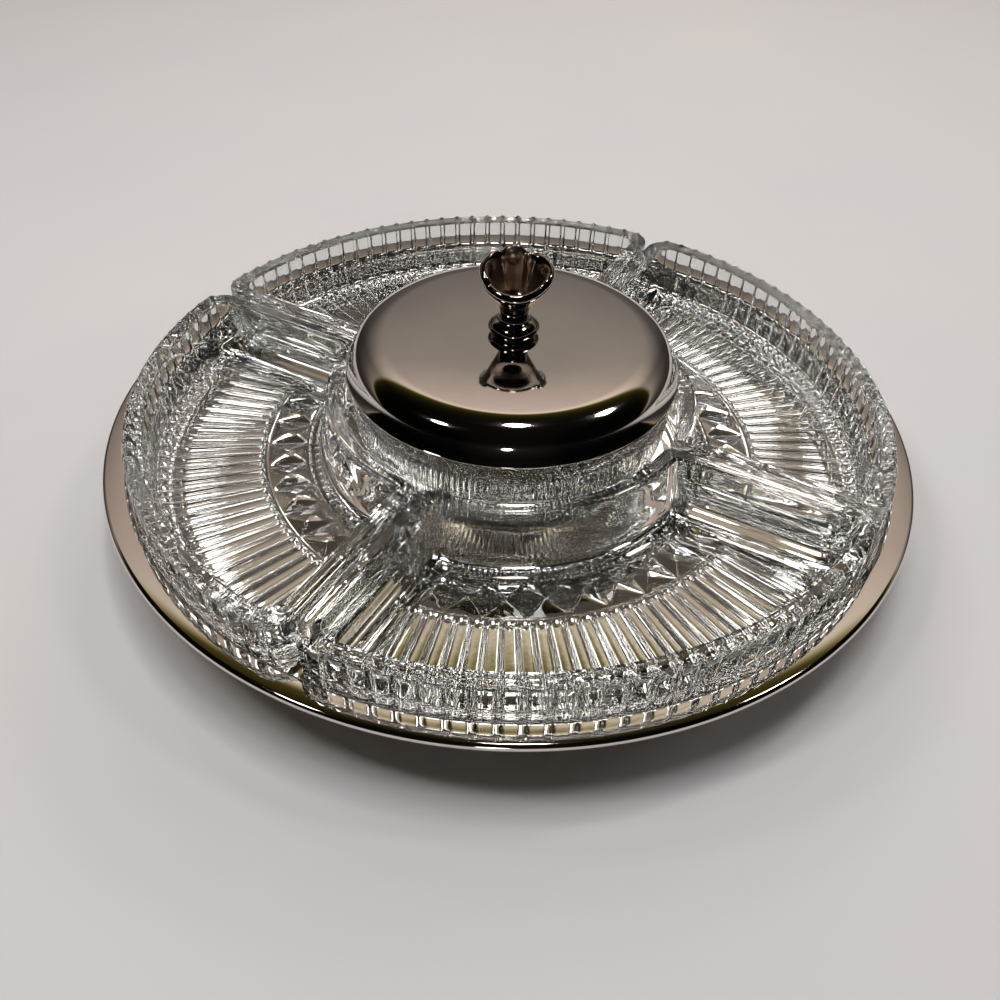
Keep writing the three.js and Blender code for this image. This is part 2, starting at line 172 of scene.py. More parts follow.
def polished_plated_casting():
    """Die-cast zinc, mop-polished and plated: bright metal with soft dents, and painted shade that darkens
    and browns it in hollows.

    The inside of the cup, where no mop reaches, is satin and duller.
    """
    material, tree, shader, place = start_material("polished_plated_casting")
    dents = add(tree, "ShaderNodeTexNoise", Vector=place, Scale=per_mm(5), Detail=2.0)
    fine = add(tree, "ShaderNodeTexNoise", Vector=place, Scale=per_mm(0.8), Detail=2.0)
    # painted shade: low pointiness marks the hollows, which are painted dark brown (#7D6E62) in place of the
    # bright metal
    hollow = add(tree, "ShaderNodeNewGeometry")
    painted_shade_fade = add(tree, "ShaderNodeMapRange", Value=hollow.outputs["Pointiness"], From_Min=0.44, From_Max=0.54)
    metal_and_painted_shade = add(tree, "ShaderNodeMix", RGBA, Factor=painted_shade_fade.outputs["Result"])
    plug(tree, metal_and_painted_shade, i6=linear("#7D6E62"), i7=linear("#C6BFB8"))
    radius, height = about_axis(tree, place)
    within = add(tree, "ShaderNodeMapRange", Value=radius, From_Min=CUP_R * MM, From_Max=(CUP_R - 2.5) * MM)
    cup_z = (FINIAL_Z + CUP_FLOOR) * MM
    above = add(tree, "ShaderNodeMapRange", Value=height, From_Min=cup_z, From_Max=cup_z + 4 * MM)
    inside = add(tree, "ShaderNodeMath", TIMES, i0=within.outputs["Result"], i1=above.outputs["Result"])
    colour = add(tree, "ShaderNodeMix", RGBA, Factor=inside.outputs["Value"])
    plug(tree, colour, i6=metal_and_painted_shade.outputs[2], i7=linear("#B09C8C"))
    gloss = add(tree, "ShaderNodeMapRange", Value=fine.outputs["Fac"], To_Min=0.03, To_Max=0.12)
    satin = add(tree, "ShaderNodeMath", {"operation": "MULTIPLY_ADD"}, i0=inside.outputs["Value"], i1=0.26)
    plug(tree, satin, i2=gloss.outputs["Result"])
    bump = add(tree, "ShaderNodeBump", Height=dents.outputs["Fac"], Strength=0.35, Distance=0.3 * MM)
    plug(tree, shader, Metallic=1.0, Base_Color=colour.outputs[2])
    plug(tree, shader, Roughness=satin.outputs["Value"], Normal=bump.outputs["Normal"])
    return material


def zinc_plated_steel():
    """Pressed steel with a dull bluish zinc coat: mottled grey, faintly brushed by the press."""
    material, tree, shader, place = start_material("zinc_plated_steel")
    grain = add(tree, "ShaderNodeTexVoronoi", Vector=place, Scale=per_mm(2.5))
    cloud = add(tree, "ShaderNodeTexNoise", Vector=place, Scale=per_mm(9), Detail=4.0)
    colour = add(tree, "ShaderNodeMix", RGBA, Factor=cloud.outputs["Fac"])
    plug(tree, colour, i6=linear("#9CA3A8"), i7=linear("#C3C8C9"))
    gloss = add(tree, "ShaderNodeMapRange", Value=grain.outputs["Distance"], To_Min=0.28, To_Max=0.48)
    bump = add(tree, "ShaderNodeBump", Height=grain.outputs["Distance"], Strength=0.15, Distance=0.05 * MM)
    plug(tree, shader, Metallic=1.0, Base_Color=colour.outputs[2])
    plug(tree, shader, Roughness=gloss.outputs["Result"], Normal=bump.outputs["Normal"])
    return material


def ground_ball_steel():
    """Hardened balls, ground and lapped: near mirror, with a few oil smears."""
    material, tree, shader, place = start_material("ground_ball_steel")
    oil = add(tree, "ShaderNodeTexNoise", Vector=place, Scale=per_mm(2), Detail=3.0)
    colour = add(tree, "ShaderNodeMix", RGBA, Factor=oil.outputs["Fac"])
    plug(tree, colour, i6=linear("#C9CCCE"), i7=linear("#B4B0A6"))
    gloss = add(tree, "ShaderNodeMapRange", Value=oil.outputs["Fac"], To_Min=0.05, To_Max=0.16)
    plug(tree, shader, Metallic=1.0, Base_Color=colour.outputs[2], Roughness=gloss.outputs["Result"])
    return material


def baked_black_enamel():
    """Black stoving enamel sprayed on steel: satin, with the fine orange peel of a thick coat."""
    material, tree, shader, place = start_material("baked_black_enamel")
    peel = add(tree, "ShaderNodeTexNoise", Vector=place, Scale=per_mm(1.4), Detail=2.0)
    dust = add(tree, "ShaderNodeTexNoise", Vector=place, Scale=per_mm(20), Detail=5.0)
    colour = add(tree, "ShaderNodeMix", RGBA, Factor=dust.outputs["Fac"])
    plug(tree, colour, i6=linear("#1D1E20"), i7=linear("#303133"))
    gloss = add(tree, "ShaderNodeMapRange", Value=dust.outputs["Fac"], To_Min=0.35, To_Max=0.55)
    bump = add(tree, "ShaderNodeBump", Height=peel.outputs["Fac"], Strength=0.3, Distance=0.06 * MM)
    plug(tree, shader, Base_Color=colour.outputs[2])
    plug(tree, shader, Roughness=gloss.outputs["Result"], Normal=bump.outputs["Normal"])
    return material


def moulded_cage_nylon():
    """Natural nylon moulding: ivory, slightly waxy, with flow marks."""
    material, tree, shader, place = start_material("moulded_cage_nylon")
    flow = add(tree, "ShaderNodeTexNoise", Vector=place, Scale=per_mm(6), Detail=3.0, Distortion=1.5)
    colour = add(tree, "ShaderNodeMix", RGBA, Factor=flow.outputs["Fac"])
    plug(tree, colour, i6=linear("#D8D0BC"), i7=linear("#E4DDCC"))
    gloss = add(tree, "ShaderNodeMapRange", Value=flow.outputs["Fac"], To_Min=0.38, To_Max=0.52)
    bump = add(tree, "ShaderNodeBump", Height=flow.outputs["Fac"], Strength=0.1, Distance=0.05 * MM)
    plug(tree, shader, IOR=1.53, Base_Color=colour.outputs[2])
    plug(tree, shader, Roughness=gloss.outputs["Result"], Normal=bump.outputs["Normal"])
    return material


def moulded_foot_rubber():
    """Black rubber from a spark-eroded mould: matte, finely grained, grey with bloom."""
    material, tree, shader, place = start_material("moulded_foot_rubber")
    grain = add(tree, "ShaderNodeTexNoise", Vector=place, Scale=per_mm(0.6), Detail=2.0)
    bloom = add(tree, "ShaderNodeTexNoise", Vector=place, Scale=per_mm(8), Detail=3.0)
    colour = add(tree, "ShaderNodeMix", RGBA, Factor=bloom.outputs["Fac"])
    plug(tree, colour, i6=linear("#17181A"), i7=linear("#2A2A2B"))
    gloss = add(tree, "ShaderNodeMapRange", Value=grain.outputs["Fac"], To_Min=0.7, To_Max=0.95)
    bump = add(tree, "ShaderNodeBump", Height=grain.outputs["Fac"], Strength=0.4, Distance=0.08 * MM)
    plug(tree, shader, Base_Color=colour.outputs[2])
    plug(tree, shader, Roughness=gloss.outputs["Result"], Normal=bump.outputs["Normal"])
    return material


def pale_table_paint():
    """Flat white emulsion on a table top: matte, with faint broad clouds of tone."""
    material, tree, shader, place = start_material("pale_table_paint")
    cloud = add(tree, "ShaderNodeTexNoise", Vector=place, Scale=per_mm(180), Detail=2.0)
    colour = add(tree, "ShaderNodeMix", RGBA, Factor=cloud.outputs["Fac"])
    plug(tree, colour, i6=linear("#D2CFCB"), i7=linear("#CBCACA"))
    plug(tree, shader, Base_Color=colour.outputs[2], Roughness=0.9)
    return material


GLASS = pressed_soda_glass()
PLATE = mirror_plated_sheet()
CASTING = polished_plated_casting()
ZINC = zinc_plated_steel()
BALL = ground_ball_steel()
ENAMEL = baked_black_enamel()
NYLON = moulded_cage_nylon()
RUBBER = moulded_foot_rubber()


# ---------- mesh helpers ----------
def quads(rows, columns, wrap_rows=False, wrap_columns=True):
    """Faces of a grid of points numbered row by row."""
    i = np.arange(rows if wrap_rows else rows - 1)[:, None]
    j = np.arange(columns if wrap_columns else columns - 1)[None, :]
    i2 = (i + 1) % rows
    j2 = (j + 1) % columns
    faces = np.stack([i * columns + j, i * columns + j2, i2 * columns + j2, i2 * columns + j], -1)
    return faces.reshape(-1, 4)


def mesh_piece(name, parts, body, slot, material, *nodes):
    """One closed mesh from (points in mm, faces) parts whose seams coincide; it stands for the nodes."""
    mesh = bpy.data.meshes.new(name)
    starts = np.cumsum([0] + [len(points) for points, _ in parts])
    points = np.concatenate([points for points, _ in parts]) * MM
    faces = np.concatenate([faces + start for (_, faces), start in zip(parts, starts)])
    mesh.from_pydata(points.tolist(), [], faces.tolist())
    shape = bmesh.new()
    shape.from_mesh(mesh)
    bmesh.ops.remove_doubles(shape, verts=shape.verts, dist=2e-6)
    bmesh.ops.recalc_face_normals(shape, faces=shape.faces)
    shape.to_mesh(mesh)
    shape.free()
    mesh.polygons.foreach_set("use_smooth", [True] * len(mesh.polygons))
    mesh.materials.append(material)
    piece = bpy.data.objects.new(name, mesh)
    bpy.context.scene.collection.objects.link(piece)
    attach(piece, body)
    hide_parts(*nodes)
    return piece


def arc(x, y, r, a0, a1, steps):
    """Points on an arc about (x, y), from angle a0 to a1 in degrees."""
    a = np.radians(np.linspace(a0, a1, steps + 1))
    return np.stack([x + r * np.cos(a), y + r * np.sin(a)], -1)


def flowing(points, steps):
    """A smooth curve through points of any dimension, `steps` pieces to each stretch."""
    p = np.asarray(points, float)
    p = np.concatenate([2 * p[:1] - p[1:2], p, 2 * p[-1:] - p[-2:-1]])
    t = np.linspace(0, 1, steps, endpoint=False)[:, None]
    made = []
    for a, b, c, d in zip(p, p[1:], p[2:], p[3:]):
        made.append(b + 0.5 * t * (c - a + t * (2 * a - 5 * b + 4 * c - d + t * (3 * (b - c) + d - a))))
    return np.concatenate(made + [p[-2:-1]])


def sheet_faces(line, thickness):
    """Both faces of sheet metal about a middle line of (r, z) points, as one closed profile."""
    line = np.asarray(line)
    run = np.gradient(line, axis=0)
    run /= np.hypot(run[:, 0], run[:, 1])[:, None]
    normal = np.stack([run[:, 1], -run[:, 0]], -1) * thickness / 2
    low = line + normal
    high = line - normal
    low[:, 0] = low[:, 0].clip(0)
    high[:, 0] = high[:, 0].clip(0)
    return np.concatenate([low, high[::-1]])


def turned(profile, steps):
    """A closed (r, z) profile turned about the axis."""
    a = np.linspace(0, 2 * np.pi, steps, endpoint=False)
    r, z = np.asarray(profile).T
    points = np.stack([np.outer(r, np.cos(a)), np.outer(r, np.sin(a)), np.outer(z, np.ones(steps))], -1)
    return points.reshape(-1, 3), quads(len(profile), steps, wrap_rows=True)


def smoothstep(value, low, high):
    t = ((value - low) / (high - low)).clip(0, 1)
    return t * t * (3 - 2 * t)


# ---------- pressed glass dishes ----------
KEPT_OUTER = 36.0  # degrees from a dish's middle in which the wall's points stay in line with the floor's
KEPT_INNER = 33.0


def spine_of(level):
    """Outline facts of a level (z, inset, corner radius, inner corner radius)."""
    _, inset, corner, inner_corner = level
    outer = DISH_R - inset
    inner = DISH_INNER_R + inset
    side = 1 + inset
    lean = 45 - math.degrees(math.asin((side + corner) / (outer - corner)))
    inner_lean = 45 - math.degrees(math.asin((side + inner_corner) / (inner + inner_corner)))
    return outer, inner, corner, inner_corner, lean, inner_lean


def polar(r, degrees):
    a = np.radians(degrees)
    return np.stack([r * np.cos(a), r * np.sin(a)], -1)


def stretch(share, end, base_end, fixed):
    """An azimuth that keeps its base value up to `fixed` degrees, then stretches to this level's end."""
    base = share * base_end
    return np.where(base < fixed, base, fixed + (base - fixed) * (end - fixed) / (base_end - fixed))


def outline(level, place, base, kept=True):
    """Points of one half of a level's outline.

    place runs from 0 to 5: outer arc, corner, side, inner corner, inner arc.
    """
    outer, inner, corner, inner_corner, lean, inner_lean = spine_of(level)
    _, _, _, _, base_lean, base_inner = spine_of(base)
    share = place - np.floor(place)
    share = np.where(place >= 5, 1.0, share)
    leg = np.minimum(np.floor(place), 4)
    far = stretch(share, lean, base_lean, KEPT_OUTER if kept else 0.0)
    near = stretch(1 - share, inner_lean, base_inner, KEPT_INNER if kept else 0.0)
    centre = polar(outer - corner, lean)
    inner_centre = polar(inner + inner_corner, inner_lean)
    bend = centre + polar(corner, lean + share * (135 - lean))
    inner_bend = inner_centre + polar(inner_corner, 135 + share * (90 - inner_lean))
    start = centre + polar(corner, 135.0)
    end = inner_centre + polar(inner_corner, 135.0)
    side = start + share[:, None] * (end - start)
    choices = [polar(outer, far), bend, side, inner_bend, polar(inner, near)]
    return np.select([(leg == k)[:, None] for k in range(5)], choices)


def column_azimuths(base, widest):
    """Azimuths of the floor's columns: closer together across each groove, then even along the side."""
    across = PANEL_PITCH * np.array([0, 0.05, 0.1, 0.145, 0.19, 0.3, 0.5, 0.7, 0.81, 0.855, 0.9, 0.95])
    ribbed = np.concatenate([k * PANEL_PITCH + across for k in range(14)])
    side = 1 + base[1]
    _, _, _, _, lean, _ = spine_of(base)
    along = 45 - np.degrees(np.arcsin(side / np.linspace(94, 176, 36)))
    return np.concatenate([ribbed[ribbed < along[0] - 0.1], along[along < widest - 0.02], [widest]])


def panel_shape(azimuth):
    """1 on each flat panel and 0 at the bottom of the grooves between them."""
    off = np.abs((azimuth / PANEL_PITCH + 0.5) % 1 - 0.5) / GROOVE_SHARE
    return 1 - (1 - off.clip(0, 1) ** 2) ** 1.4


def clear_of_side(x, y):
    """0 beside a dish's straight sides, 1 from a few mm further in."""
    azimuth = np.degrees(np.arctan2(y, x))
    return smoothstep(np.hypot(x, y) * np.sin(np.radians(45 - np.abs(azimuth))), 8.0, 11.5)


def floor_relief(x, y):
    """How far the underside is pressed up into the floor at a point, in mm."""
    r = np.hypot(x, y)
    azimuth = np.degrees(np.arctan2(y, x))
    arm = np.radians(1) * r
    across = ((azimuth / PANEL_PITCH) % 1 - 0.5) * PANEL_PITCH * arm
    half = 0.5 * PANEL_PITCH * arm
    arch = FLUTE_END + 1.2 * half - np.sqrt((half**2 - across**2).clip(0))
    panel = panel_shape(azimuth) * smoothstep(r, arch - 0.3, arch + 1.3)
    grooves = GROOVE_DEPTH * (1 - panel) * smoothstep(r, FLUTE_END - 1.0, FLUTE_END + 0.2)
    middle = (FACET_OUTER + FACET_INNER) / 2
    off = np.abs((azimuth / FACET_PITCH + 0.5) % 1 - 0.5) * 2
    facets = FACET_DEPTH * (1 - np.maximum(off * 0.96, np.abs(r - middle) / (FACET_OUTER - middle))).clip(0)
    from_groove = np.abs((azimuth / PANEL_PITCH + 0.5) % 1 - 0.5)
    dished = np.cos(np.pi * (0.5 - from_groove) / (1 - 2 * GROOVE_SHARE)).clip(0) ** 2
    dished = DISHED_DEPTH * dished * smoothstep(r, FLUTE_END + 2, FLUTE_END + 5)
    fine = FINE_DEPTH / 2 * (1 - np.cos(2 * np.pi * azimuth / FINE_PITCH))
    fine = fine * smoothstep(r, FINE_INNER - 0.6, FINE_INNER + 0.8)
    fine = fine * (1 - smoothstep(r, FINE_OUTER, FACET_INNER))
    return (grooves + facets + dished + fine) * clear_of_side(x, y)


def dish_levels():
    """Outside and inside levels (z, inset, corner, inner corner) of a dish wall."""
    floor = GLASS_Z + 5.2
    outside = flowing([
        (GLASS_Z, 6.5, 9, 6),
        (GLASS_Z + 0.9, 4.9, 9.8, 6.5),
        (GLASS_Z + 3.4, 3.4, 10.5, 7),
        (GLASS_Z + 12, 1.2, 12, 8),
        (DISH_TOP - 10, 0.4, 12.6, 8.7),
        (DISH_TOP - 1.7, 0.1, 12.9, 9),
        (DISH_TOP - 0.5, 0.6, 12.4, 8.5),
        (DISH_TOP, 1.9, 11.2, 7.3),
    ], 4)
    rim = [(DISH_TOP, inset, 13 - inset, 9 - 0.6 * inset) for inset in (3.2, 4.6, 6.0)]
    inside = flowing([
        (DISH_TOP, 6.6, 7.7, 5.8),
        (DISH_TOP - 0.6, 7.9, 7.6, 5.4),
        (DISH_TOP - 2, 8.6, 7.5, 5),
        (DISH_TOP - 12, 9.4, 7.8, 5.6),
        (floor + 7.5, 10.9, 8.2, 6.5),
        (floor + 2.6, 14.6, 9, 8),
        (floor + 0.5, 19, 9, 8),
        (floor, 22, 9, 8),
    ], 4)
    return outside, rim, inside


def pressed_dish():
    """Points and faces of a dish about +X: panelled wall, pressed underside, smooth inside."""
    outside, rim, inside = dish_levels()
    base = outside[0]
    table = np.linspace(0, 5, 6001)
    x, y = outline(base, table, base).T
    azimuth = np.degrees(np.arctan2(y, x))
    top = int(azimuth.argmax())
    columns = column_azimuths(base, azimuth[top])
    out_place = np.interp(columns, azimuth[: top + 1], table[: top + 1])
    in_place = np.interp(columns, azimuth[top:][::-1], table[top:][::-1])
    sides = np.concatenate([np.full(len(columns) - 1, -1), np.ones(len(columns))])
    full_out = np.concatenate([out_place[:0:-1], out_place])
    full_in = np.concatenate([in_place[:0:-1], in_place])
    place = np.concatenate([full_out, full_in[-2:0:-1]])
    side = np.concatenate([sides, sides[-2:0:-1]])

    def ring(level, kept):
        half = outline(level, place, base, kept)
        return np.stack([half[:, 0], half[:, 1] * side, np.full(len(half), level[0])], -1)

    wall = np.stack([ring(level, True) for level in outside])
    foot = wall[0]
    outer_half = np.hypot(foot[:, 0], foot[:, 1]) > (DISH_R + DISH_INNER_R) / 2
    depth = np.where(outer_half, clear_of_side(foot[:, 0], foot[:, 1]), 0)
    run = np.gradient(outside[:, :2], axis=0)
    run /= np.hypot(run[:, 0], run[:, 1])[:, None]
    run[0] = (0, -1)
    out_share = run[:, 0].clip(0)
    fade = np.interp(outside[:, 0], [DISH_TOP - 4, DISH_TOP], [1, 0.55])
    panel = panel_shape(np.degrees(np.arctan2(wall[..., 1], wall[..., 0])))
    away = wall[..., :2] / np.hypot(wall[..., 0], wall[..., 1])[..., None]
    push = (PANEL_H - GROOVE_DEPTH * (1 - panel)) * depth * (out_share * fade)[:, None]
    wall[..., :2] += away * push[..., None]
    lift = np.where(out_share < 0.98, 1 - out_share, 0)[:, None]
    wall[..., 2] += GROOVE_DEPTH * (1 - panel) * depth * lift
    upper = np.stack([ring(level, False) for level in [*rim, *inside]])
    shell = np.concatenate([wall, upper])
    shell_faces = quads(len(shell), len(place))

    width = len(full_out)
    # rows from the outer foot to the inner one, closer together over the pyramids and fine ribs
    rows = np.concatenate([np.linspace(0, 0.58, 62, endpoint=False), np.linspace(0.58, 1, 62)])
    ends = wall[0][:width], np.concatenate([wall[0][:1], wall[0][width:][::-1], wall[0][width - 1 : width]])
    plain_ends = [np.concatenate([e[:, :2], np.full((width, 1), GLASS_Z)], 1) for e in ends]
    under = plain_ends[0] + rows[:, None, None] * (plain_ends[1] - plain_ends[0])
    under[..., 2] += floor_relief(under[..., 0], under[..., 1])
    under[0], under[-1] = ends
    inner_ring = shell[-1]
    near_end = np.concatenate([inner_ring[:1], inner_ring[width:][::-1], inner_ring[width - 1 : width]])
    few = np.linspace(0, 1, 12)[:, None, None]
    over = inner_ring[:width] + few * (near_end - inner_ring[:width])
    return [
        (shell.reshape(-1, 3), shell_faces),
        (under.reshape(-1, 3), quads(len(under), width, wrap_columns=False)),
        (over.reshape(-1, 3), quads(len(over), width, wrap_columns=False)),
    ]


def lay_dishes():
    parts = pressed_dish()
    for i in range(4):
        a = math.radians(-90 + 90 * i)
        turn = np.array([[math.cos(a), math.sin(a), 0], [-math.sin(a), math.cos(a), 0], [0, 0, 1]])
        placed = [(points @ turn, faces) for points, faces in parts]
        body = f"dish_{i + 1}"
        mesh_piece(f"pressed_{body}", placed, body, "pressed_glass", GLASS, f"glass_{body}")


# ---------- pressed glass bowl ----------
def pressed_bowl():
    """A row of diamonds under the rim and fine upright ribs below, on a smooth inside."""
    steps = 960
    diamond = 6.0  # degrees from one to the next
    outside = flowing([
        (0.0, GLASS_Z + 1.2),
        (50, GLASS_Z + 1.2),
        (53.4, GLASS_Z + 0.3),
        (57, GLASS_Z),
        (61, GLASS_Z + 0.7),
        (70, GLASS_Z + 7),
        (76.5, GLASS_Z + 18),
        (79, GLASS_Z + 32),
        (BOWL_R - 1.4, BOWL_TOP - 12),
        (BOWL_R - 2.2, BOWL_TOP - 8),
        (BOWL_R - 1.9, BOWL_TOP - 4),
    ], 6)
    rim = arc(BOWL_R - 3.4, BOWL_TOP - 2.6, 2.6, 0, 180, 10)
    inside = flowing([
        (BOWL_R - 6, BOWL_TOP - 4),
        (72, GLASS_Z + 30),
        (69, GLASS_Z + 18),
        (62, GLASS_Z + 9.5),
        (50, GLASS_Z + 6.2),
        (0.0, GLASS_Z + 5.4),
    ], 4)
    profile = np.concatenate([outside, rim, inside])
    points, faces = turned(profile, steps)
    grid = points.reshape(len(profile), steps, 3)
    across = np.degrees(np.arctan2(grid[..., 1], grid[..., 0]))
    z = grid[..., 2]
    low, high = BOWL_TOP - 9.5, BOWL_TOP - 1.4
    span = (high - low) / 2
    up = np.abs(z - (low + high) / 2) / span
    off = np.abs((across / diamond + 0.5) % 1 - 0.5) * 2
    facets = 2.3 * (1 - off - up).clip(0)
    ribs = 1.1 * np.abs(np.sin(np.pi * across / 2))
    ribs = ribs * smoothstep(z, GLASS_Z + 2, GLASS_Z + 8) * (1 - smoothstep(z, low - 1.5, low))
    patterned = np.arange(len(profile))[:, None] < len(outside) + 3
    push = np.where(patterned, facets + ribs, 0)
    r = np.hypot(grid[..., 0], grid[..., 1])
    grid[..., :2] *= (1 + push / r.clip(1))[..., None]
    parts = [(grid.reshape(-1, 3), faces)]
    mesh_piece("pressed_bowl", parts, "bowl", "pressed_glass", GLASS, "centre_bowl")


# ---------- sheet metal ----------
def spun_tray():
    """Flat mirror rim, deep well and turned-down hem, with the four welded studs."""
    half = SHEET / 2
    wall = WELL_R + half
    edge = TRAY_R - half
    line = np.concatenate([
        np.stack([np.linspace(0, wall - 8, 12), np.full(12, WELL_Z - half)], -1),
        arc(wall - 7, WELL_Z - half + 7, 7, -90, 0, 12),
        arc(wall + 2.4, RIM_Z - half - 2.4, 2.4, 180, 90, 10),
        arc(edge - 1.4, RIM_Z - half - 1.4, 1.4, 90, -110, 20),
    ])
    parts = [turned(sheet_faces(line, SHEET), 480)]
    for k in range(4):
        centre = polar(RACE_STUD_R, 90.0 * k)
        bevel = [(0.0, STUD_FOOT), (STUD_R - 0.4, STUD_FOOT), (STUD_R, STUD_FOOT + 0.4)]
        points, faces = turned([*bevel, (STUD_R, WELL_Z - half), (0.0, WELL_Z - half)], 32)
        parts.append((points + [*centre, 0], faces))
    mesh_piece("spun_tray", parts, "turntable", "chrome_plate", PLATE, "tray")


# the lid's crown, shoulder and bend: radius, tilt at the start and end in degrees, steps
LID_ARCS = [(555, 90, 86.8, 10), (24, 86.8, 60, 24), (11.5, 60, 22, 24)]
LID_LEAN = math.radians(LID_ARCS[-1][2])


def lid_curve(flat, inset):
    """The lid's crown, shoulder and bend, flowing into each other, `inset` inside the outer face."""
    radius = LID_ARCS[0][0]
    centre = np.array([flat, LID_TOP - radius])
    made = []
    for r, start, end, steps in LID_ARCS:
        centre = centre + polar(radius - r, start)
        radius = r
        made.append(arc(*centre, r - inset, start, end, steps))
    return np.concatenate([made[0], made[1][1:], made[2][1:]])


def spun_lid():
    """A shallow lid: low crown, round shoulder, leaning side, thin flange, and a skirt inside the bowl."""
    foot, skirt = LID_R - 0.6, 71.5
    seat = LID_LOW + 4.4
    span, bend_foot = lid_curve(0, 0)[-1]
    flat = foot - (bend_foot - seat - SHEET) * math.tan(LID_LEAN) - span
    outside = np.concatenate([
        [(skirt + SHEET, seat)],
        arc(LID_R - 0.6, seat + 0.6, 0.6, -90, 60, 8),
        [(foot - 0.05, seat + SHEET + 0.12)],
        lid_curve(flat, 0)[::-1],
        [(r, LID_TOP) for r in (26, 14, 6, LID_BORE_R + 0.4)],
        [(LID_BORE_R, LID_TOP - 0.2)],
    ])
    inside = np.concatenate([
        [(LID_BORE_R, LID_TOP - SHEET)],
        lid_curve(flat, SHEET),
        [(foot - 1.3, seat + 1.8), (skirt, seat + SHEET), (skirt, LID_LOW), (skirt + SHEET, LID_LOW)],
    ])
    parts = [turned(np.concatenate([outside, inside]), 360)]
    mesh_piece("spun_lid", parts, "lid", "chrome_plate", PLATE, "lid_shell")


# ---------- cast finial ----------
FLOWER_TURN = 72.5  # direction of the cup's high side, degrees
FLOWER_LEAN = 0.24


def flower_rings():
    """Rings from the foot, over the lip, to the cup's floor: radius, height, lobes, lean, petals' share."""
    return flowing([
        (9.6, 0, 0.04, 0, 0),
        (11.2, 1, 0.04, 0, 0),
        (12, 3.2, 0.04, 0, 0),
        (11.2, 5.4, 0.04, 0, 0),
        (9.2, 6.8, 0.04, 0, 0),
        (7.4, 7.6, 0.03, 0, 0),
        (7, 9, 0.02, 0, 0),
        (7.6, 13, 0.02, 0, 0),
        (10.2, 18.6, 0.04, FLOWER_LEAN / 2, 0.1),
        (13.6, 24.8, 0.02, FLOWER_LEAN, 0.5),
        (15.8, 28, 0.02, FLOWER_LEAN, 0.9),
        (16.3, 29.8, 0.02, FLOWER_LEAN, 1),
        (14.5, 31.6, 0.02, FLOWER_LEAN, 1),
        (12.3, 30, 0.02, FLOWER_LEAN, 1),
        (11.4, 26.6, 0.02, FLOWER_LEAN, 0.7),
        (9.6, 21.8, 0.04, FLOWER_LEAN * 0.8, 0.3),
        (6.6, 17.8, 0.03, FLOWER_LEAN / 2, 0),
        (3.2, 16, 0.02, 0, 0),
    ], 8)


def petal_rise(away):
    """The lip's rise and outward roll in mm, at an azimuth counted from the cup's high side."""
    # centre and half width in degrees, then rise and outward roll
    petals = [(72, 50, 3.6, 0.6), (6, 27, 5.6, -2.4), (-30, 14, 2.8, -1.6), (-78, 46, 2.4, 1.8)]
    rise = np.zeros_like(away)
    roll = np.zeros_like(away)
    for centre, half, height, outward in petals:
        crest = np.sqrt((1 - ((away - centre) / half) ** 2).clip(0))
        roll = np.where(crest * height > rise, outward * crest, roll)
        rise = np.maximum(rise, crest * height)
    return rise, roll


def cast_flower():
    """Lobed collar, waist and open cup with a rolled lip, petals and curled tips, fused as one casting."""
    count = 240
    a = np.linspace(0, 2 * np.pi, count, endpoint=False)
    turn = math.radians(FLOWER_TURN)
    rise, roll = petal_rise((np.degrees(a - turn) + 180) % 360 - 180)
    rings = []
    for r, z, depth, lean, share in flower_rings():
        wavy = r * (1 + depth * np.cos(4 * (a - turn))) + share * roll
        height = FINIAL_Z + z + lean * wavy * np.cos(a - turn) + share * rise
        rings.append(np.stack([wavy * np.cos(a), wavy * np.sin(a), height], -1))
    rings = np.stack(rings)
    middles = [np.repeat(ring.mean(0)[None], count, 0)[None] for ring in (rings[0], rings[-1])]
    body = np.concatenate([middles[0], rings, middles[1]])
    parts = [(body.reshape(-1, 3), quads(len(body), count))]
    # each curled tip's half width, thickness and height, distance out, azimuth, height, and lean in degrees
    tips = [
        (6.4, 2.6, 3.6, 14.6, 70, 31.2, 24),
        (3.6, 3.0, 5.0, 11.6, 8, 33.6, -14),
        (2.4, 2.4, 3.0, 12.2, -30, 32.0, -10),
        (6.0, 2.8, 3.4, 15.0, -78, 29.6, 30),
    ]
    for width, thick, high, out, away, z, lean in tips:
        b = np.radians(np.linspace(-90, 90, 25))
        points, faces = turned(np.stack([np.cos(b), np.sin(b)], -1), 40)
        sway = np.array(Matrix.Rotation(math.radians(lean), 3, "Y"))
        face = np.array(Matrix.Rotation(math.radians(FLOWER_TURN + away), 3, "Z"))
        centre = [*polar(out, FLOWER_TURN + away), FINIAL_Z + z]
        parts.append((points * (thick, width, high) @ sway.T @ face.T + centre, faces))
    piece = mesh_piece("cast_flower", parts, "lid", "chrome_casting", CASTING, "finial")
    fuse = piece.modifiers.new("fuse", "REMESH")
    fuse.mode = "VOXEL"
    fuse.voxel_size = 0.4 * MM
    fuse.use_smooth_shade = True
    soften = piece.modifiers.new("soften", "SMOOTH")
    soften.factor = 0.6
    soften.iterations = 9


# ---------- carried frame nodes ----------
def finish_bearing():
    """Materials of the base, bearing and fasteners, which keep the frame's own shapes."""
    single = {"base_stand": ENAMEL, "ball_cage": NYLON}
    single.update(dict.fromkeys(("lower_race_plate", "upper_race_plate", "centre_eyelet"), ZINC))
    single.update(dict.fromkeys(("lid_washer", "finial_screw"), ZINC))
    numbered = {"rubber_foot": RUBBER, "ball": BALL, "race_rivet": ZINC, "race_nut": ZINC}
    for name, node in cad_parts.items():
        finish = single.get(name) or numbered.get(name.rsplit("_", 1)[0])
        if finish:
            node.data.materials.clear()
            node.data.materials.append(finish)


# ---------- floor, light, camera ----------
FLOOR_HALF = 2.5


